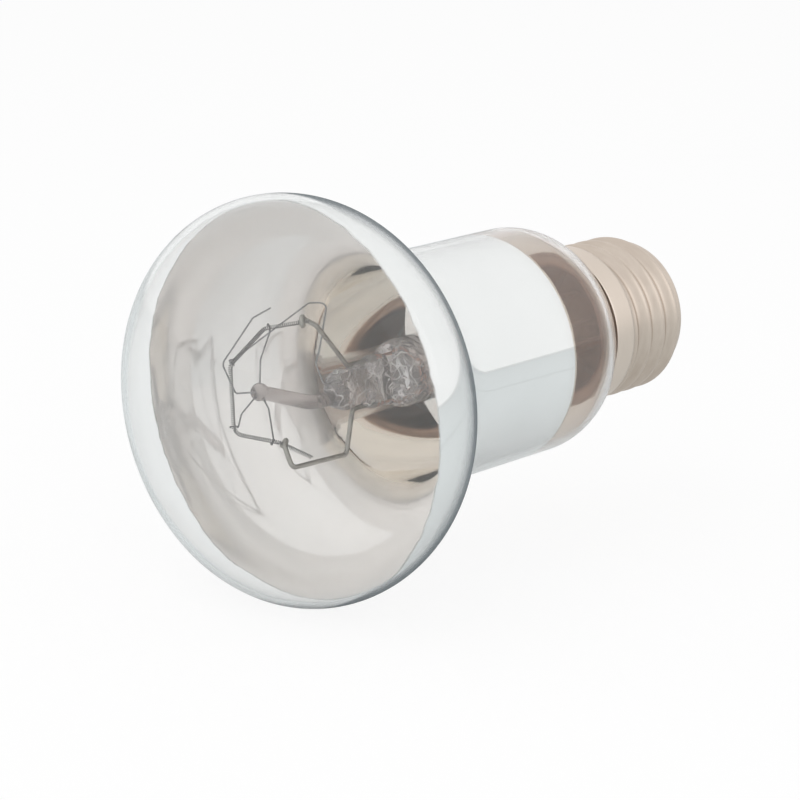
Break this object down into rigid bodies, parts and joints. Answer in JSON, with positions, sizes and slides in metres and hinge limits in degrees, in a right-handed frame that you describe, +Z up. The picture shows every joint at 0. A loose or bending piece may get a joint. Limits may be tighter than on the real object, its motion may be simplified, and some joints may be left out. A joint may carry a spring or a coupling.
{
  "type": "incandescent bulb",
  "caption": "Mirrored reflector bulb with a clear domed front, a wire filament on a glass stem and an E27 screw cap.",
  "frame": {"origin": "centre of the contact's end face, on the lamp's axis", "axes": "+Y along the axis from the lens to the contact, the way the cap goes into its holder, and +Z up"},
  "size_m": [0.063, 0.103, 0.063],
  "materials": {
    "clear_glass": "clear, polished",
    "aluminium_film": "bright mirror",
    "stem_glass": "clear, fire polished",
    "nickel_wire": "satin",
    "copper_wire": "bare copper",
    "molybdenum_wire": "satin",
    "tungsten": "matte coil",
    "cap_metal": "nickel plated, satin",
    "cement": "matte",
    "black_glass": "gloss",
    "contact_metal": "satin",
    "solder": "satin"
  },
  "bodies": {
    "root": {"envelope": "clear_glass", "mirror_coating": "aluminium_film", "stem": "stem_glass", "exhaust_tube": "stem_glass", "arbor": "stem_glass", "inner_lead_upper": "nickel_wire", "inner_lead_lower": "nickel_wire", "outer_lead_shell": "copper_wire", "outer_lead_contact": "copper_wire", "support_wire_1": "molybdenum_wire", "support_wire_2": "molybdenum_wire", "support_wire_3": "molybdenum_wire", "support_wire_4": "molybdenum_wire", "support_wire_5": "molybdenum_wire", "filament": "tungsten", "cap_shell": "cap_metal", "cap_cement": "cement", "cap_insulator": "black_glass", "centre_contact": "contact_metal", "centre_solder": "solder"}
  },
  "joints": []
}
